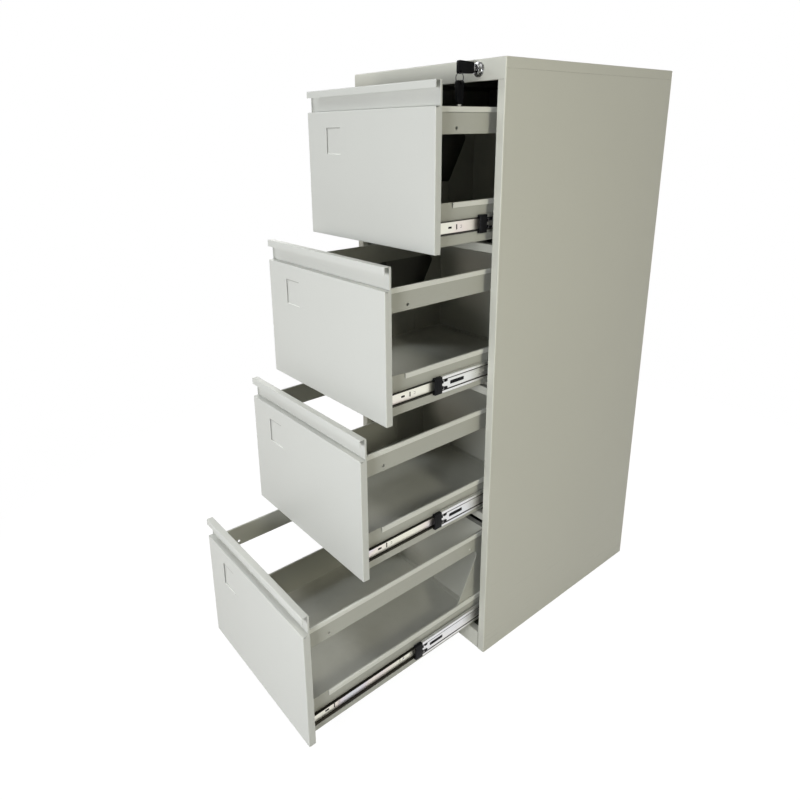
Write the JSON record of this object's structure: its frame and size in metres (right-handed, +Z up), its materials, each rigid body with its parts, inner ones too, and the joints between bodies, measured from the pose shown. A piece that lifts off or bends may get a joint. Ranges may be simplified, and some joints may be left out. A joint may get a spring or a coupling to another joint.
{
  "type": "vertical file cabinet",
  "caption": "Tall painted steel file cabinet with suspension drawers on telescopic ball slides, folded grip fronts and a key lock in the top band",
  "frame": {"origin": "middle of the cabinet body's base, on the floor", "axes": "+X to the right seen from the front, +Y to the back, +Z up; the drawers open along -Y"},
  "size_m": [0.46, 1.0764, 1.335],
  "materials": {
    "body_paint": "satin powder coat, light grey",
    "front_paint": "satin powder coat, light grey",
    "box_paint": "satin powder coat, light grey",
    "zinc_steel": "bright zinc plate",
    "passivated_zinc": "zinc plate with a faint rainbow film",
    "bright_zinc": "bright zinc plate",
    "cage_steel": "plain steel with oiled balls",
    "stop_plastic": "black moulded plastic",
    "lock_chrome": "polished chrome plate",
    "lock_steel": "plain zinc plate",
    "key_plastic": "black moulded plastic",
    "key_steel": "nickel plate"
  },
  "bodies": {
    "cabinet": {"side_right": "body_paint", "side_left": "body_paint", "top_cover": "body_paint", "base_pan": "body_paint", "back_panel": "body_paint", "cross_rails": "body_paint", "posts": "body_paint", "slide_outer_members": "zinc_steel", "lock_barrel": "lock_chrome", "lock_nut": "lock_steel", "lock_brackets": "zinc_steel"},
    "lock_core": {"lock_plug": "lock_chrome", "lock_rod": "zinc_steel", "lock_crank": "zinc_steel", "key_head": "key_plastic", "key_blade": "key_steel"},
    "lock_lift_bar": {"lock_bar": "zinc_steel"},
    "ring": {"key_ring": "key_steel"},
    "spare": {"spare_key_head": "key_plastic", "spare_key_blade": "key_steel"},
    "slide_middle_1": {"drawer_1_slide_middle": "bright_zinc", "drawer_1_slide_stop": "stop_plastic"},
    "drawer_1": {"drawer_1_front_skin": "front_paint", "drawer_1_front_liner": "front_paint", "drawer_1_tray": "box_paint", "drawer_1_back_panel": "box_paint", "drawer_1_hanging_rails": "box_paint", "drawer_1_slide_inner": "passivated_zinc"},
    "cage_outer_1": {"drawer_1_ball_cage_outer": "cage_steel"},
    "cage_inner_1": {"drawer_1_ball_cage_inner": "cage_steel"},
    "slide_middle_2": {"drawer_2_slide_middle": "bright_zinc", "drawer_2_slide_stop": "stop_plastic"},
    "drawer_2": {"drawer_2_front_skin": "front_paint", "drawer_2_front_liner": "front_paint", "drawer_2_tray": "box_paint", "drawer_2_back_panel": "box_paint", "drawer_2_hanging_rails": "box_paint", "drawer_2_slide_inner": "passivated_zinc"},
    "cage_outer_2": {"drawer_2_ball_cage_outer": "cage_steel"},
    "cage_inner_2": {"drawer_2_ball_cage_inner": "cage_steel"},
    "slide_middle_3": {"drawer_3_slide_middle": "bright_zinc", "drawer_3_slide_stop": "stop_plastic"},
    "drawer_3": {"drawer_3_front_skin": "front_paint", "drawer_3_front_liner": "front_paint", "drawer_3_tray": "box_paint", "drawer_3_back_panel": "box_paint", "drawer_3_hanging_rails": "box_paint", "drawer_3_slide_inner": "passivated_zinc"},
    "cage_outer_3": {"drawer_3_ball_cage_outer": "cage_steel"},
    "cage_inner_3": {"drawer_3_ball_cage_inner": "cage_steel"},
    "slide_middle_4": {"drawer_4_slide_middle": "bright_zinc", "drawer_4_slide_stop": "stop_plastic"},
    "drawer_4": {"drawer_4_front_skin": "front_paint", "drawer_4_front_liner": "front_paint", "drawer_4_tray": "box_paint", "drawer_4_back_panel": "box_paint", "drawer_4_hanging_rails": "box_paint", "drawer_4_slide_inner": "passivated_zinc"},
    "cage_outer_4": {"drawer_4_ball_cage_outer": "cage_steel"},
    "cage_inner_4": {"drawer_4_ball_cage_inner": "cage_steel"}
  },
  "joints": [
    {"name": "lock_turn", "type": "hinge", "parent": "cabinet", "child": "lock_core", "pos_m": [0.163, -0.3, 1.3165], "axis": [0, 1, 0], "range_deg": [0, 90]},
    {"name": "lock_bar_lift", "type": "slide", "parent": "cabinet", "child": "lock_lift_bar", "axis": [0, 0, 1], "range_m": [0, 0.01202]},
    {"name": "key_ring_swing", "type": "hinge", "parent": "lock_core", "child": "ring", "pos_m": [0.163, -0.351, 1.3103], "axis": [1, 0, 0], "range_deg": [-60, 20]},
    {"name": "spare_key_slip", "type": "hinge", "parent": "ring", "child": "spare", "pos_m": [0.163, -0.351, 1.30001], "axis": [0, 1, 0], "range_deg": [-90, 0]},
    {"name": "slide_stage_1", "type": "slide", "parent": "cabinet", "child": "slide_middle_1", "axis": [0, -1, 0], "range_m": [-0.074, 0.1865]},
    {"name": "drawer_stage_1", "type": "slide", "parent": "slide_middle_1", "child": "drawer_1", "axis": [0, -1, 0], "range_m": [-0.0738, 0.1627]},
    {"name": "outer_cage_1", "type": "slide", "parent": "cabinet", "child": "cage_outer_1", "axis": [0, -1, 0], "range_m": [-0.0371, 0.09335]},
    {"name": "inner_cage_1", "type": "slide", "parent": "slide_middle_1", "child": "cage_inner_1", "axis": [0, -1, 0], "range_m": [-0.037, 0.08145]},
    {"name": "slide_stage_2", "type": "slide", "parent": "cabinet", "child": "slide_middle_2", "axis": [0, -1, 0], "range_m": [-0.1915, 0.069]},
    {"name": "drawer_stage_2", "type": "slide", "parent": "slide_middle_2", "child": "drawer_2", "axis": [0, -1, 0], "range_m": [-0.0761, 0.1604]},
    {"name": "outer_cage_2", "type": "slide", "parent": "cabinet", "child": "cage_outer_2", "axis": [0, -1, 0], "range_m": [-0.09585, 0.0346]},
    {"name": "inner_cage_2", "type": "slide", "parent": "slide_middle_2", "child": "cage_inner_2", "axis": [0, -1, 0], "range_m": [-0.03815, 0.0803]},
    {"name": "slide_stage_3", "type": "slide", "parent": "cabinet", "child": "slide_middle_3", "axis": [0, -1, 0], "range_m": [-0.1875, 0.073]},
    {"name": "drawer_stage_3", "type": "slide", "parent": "slide_middle_3", "child": "drawer_3", "axis": [0, -1, 0], "range_m": [-0.1435, 0.093]},
    {"name": "outer_cage_3", "type": "slide", "parent": "cabinet", "child": "cage_outer_3", "axis": [0, -1, 0], "range_m": [-0.09385, 0.0366]},
    {"name": "inner_cage_3", "type": "slide", "parent": "slide_middle_3", "child": "cage_inner_3", "axis": [0, -1, 0], "range_m": [-0.07185, 0.0466]},
    {"name": "slide_stage_4", "type": "slide", "parent": "cabinet", "child": "slide_middle_4", "axis": [0, -1, 0], "range_m": [-0.2415, 0.019]},
    {"name": "drawer_stage_4", "type": "slide", "parent": "slide_middle_4", "child": "drawer_4", "axis": [0, -1, 0], "range_m": [-0.2319, 0.0046]},
    {"name": "outer_cage_4", "type": "slide", "parent": "cabinet", "child": "cage_outer_4", "axis": [0, -1, 0], "range_m": [-0.12085, 0.0096]},
    {"name": "inner_cage_4", "type": "slide", "parent": "slide_middle_4", "child": "cage_inner_4", "axis": [0, -1, 0], "range_m": [-0.11605, 0.0024]}
  ],
  "couplings": [
    {"joint": "lock_turn", "follows": "lock_bar_lift", "rad_per_m": 130.68},
    {"joint": "spare_key_slip", "follows": "lock_bar_lift", "rad_per_m": -130.68},
    {"joint": "outer_cage_1", "follows": "slide_stage_1", "ratio": 0.5},
    {"joint": "inner_cage_1", "follows": "drawer_stage_1", "ratio": 0.5},
    {"joint": "outer_cage_2", "follows": "slide_stage_2", "ratio": 0.5},
    {"joint": "inner_cage_2", "follows": "drawer_stage_2", "ratio": 0.5},
    {"joint": "outer_cage_3", "follows": "slide_stage_3", "ratio": 0.5},
    {"joint": "inner_cage_3", "follows": "drawer_stage_3", "ratio": 0.5},
    {"joint": "outer_cage_4", "follows": "slide_stage_4", "ratio": 0.5},
    {"joint": "inner_cage_4", "follows": "drawer_stage_4", "ratio": 0.5}
  ]
}
